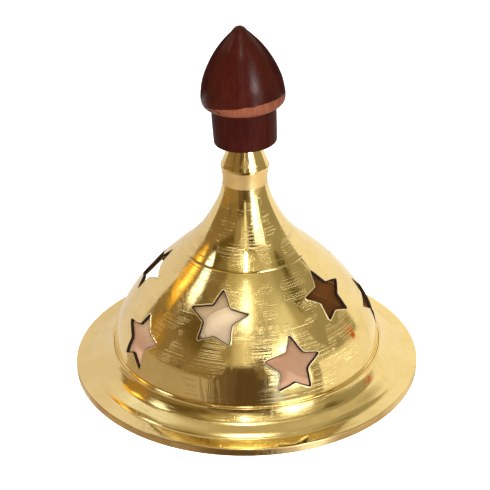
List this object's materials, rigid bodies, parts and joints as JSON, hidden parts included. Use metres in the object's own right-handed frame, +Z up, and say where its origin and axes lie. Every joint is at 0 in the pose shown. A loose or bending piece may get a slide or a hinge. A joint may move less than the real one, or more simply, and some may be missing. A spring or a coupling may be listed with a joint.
{
  "type": "incense burner",
  "caption": "Brass incense burner: flanged dish with a burner cup under a domed lift-off cover pierced with stars, topped by a turned wooden knob.",
  "frame": {"origin": "on the table, at the centre of the round base", "axes": "+Z up along the axis of the dish and cover; -Y is the front, +X is to the right seen from the front"},
  "size_m": [0.112, 0.112, 0.1163],
  "materials": {
    "polished_brass": "lathe-polished, with fine turning marks",
    "cast_brass": "matt, as cast and turned",
    "lacquered_wood": "dark red-brown lacquer, satin, with bare wood under the cap",
    "plated_steel": "zinc plated"
  },
  "bodies": {
    "base": {"base_dish": "polished_brass"},
    "cup": {"burner_cup": "cast_brass"},
    "cover": {"cover_dome": "polished_brass", "neck_ferrule": "polished_brass", "wooden_knob": "lacquered_wood", "knob_stud": "plated_steel", "stud_washer": "plated_steel", "stud_nut": "plated_steel"}
  },
  "joints": [
    {"name": "cover_lift", "type": "slide", "parent": "base", "child": "cover", "axis": [0, 0, 1], "range_m": [0, 0.06]},
    {"name": "cup_lift", "type": "slide", "parent": "base", "child": "cup", "axis": [0, 0, 1], "range_m": [0, 0.02]}
  ]
}
